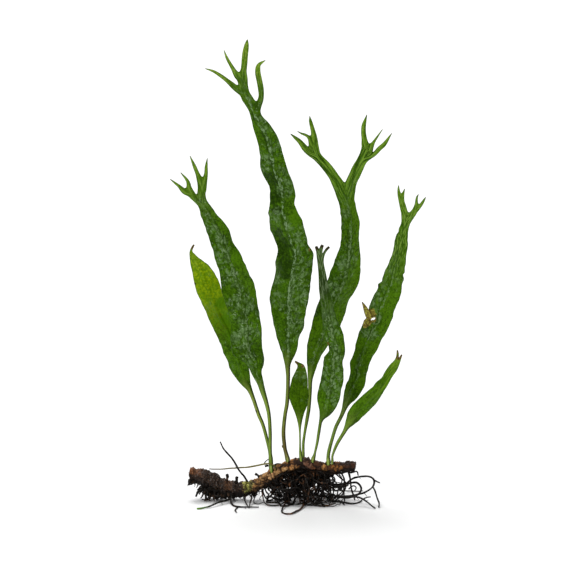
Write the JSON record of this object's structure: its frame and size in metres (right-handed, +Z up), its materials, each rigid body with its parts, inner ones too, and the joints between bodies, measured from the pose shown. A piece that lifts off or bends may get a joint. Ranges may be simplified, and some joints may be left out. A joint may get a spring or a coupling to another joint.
{
  "type": "java fern",
  "caption": "Bare-root aquarium fern: fork-tipped strap leaves standing from a creeping rhizome that rests on its flat-footed tangle of fine dark roots.",
  "frame": {"origin": "centre of the bounding box's foot, on the surface that the plant stands on", "axes": "+Z up along the leaves, +X along the rhizome towards its growing end, -Y towards the viewer"},
  "size_m": [0.1277, 0.062, 0.2384],
  "materials": {
    "leaf": "wet, waxy dark green leaf tissue",
    "young_leaf": "wet, waxy lighter green leaf tissue",
    "rhizome": "matte, scaly brown rhizome",
    "root": "matte, near-black wiry roots",
    "olive_root": "matte, olive young root"
  },
  "bodies": {
    "root": {"leaf_far_left": "young_leaf", "leaf_left_forked": "leaf", "leaf_tall": "leaf", "leaf_small_front": "young_leaf", "leaf_back_forked": "leaf", "leaf_front_narrow": "leaf", "leaf_right_forked": "leaf", "leaf_small_right": "young_leaf", "rhizome": "rhizome", "root_mat": "root", "root_upright": "root", "root_runner": "olive_root", "root_green_tip": "root", "root_hooked": "root", "root_left_loop": "root", "root_front_loop": "root", "root_right_loop": "root", "root_right_inner": "root", "root_right_front": "root", "root_right_floor": "root", "root_right_drop": "root", "root_end_stub": "root", "root_back_left": "root", "root_back_right": "root", "root_back_old": "root"}
  },
  "joints": []
}
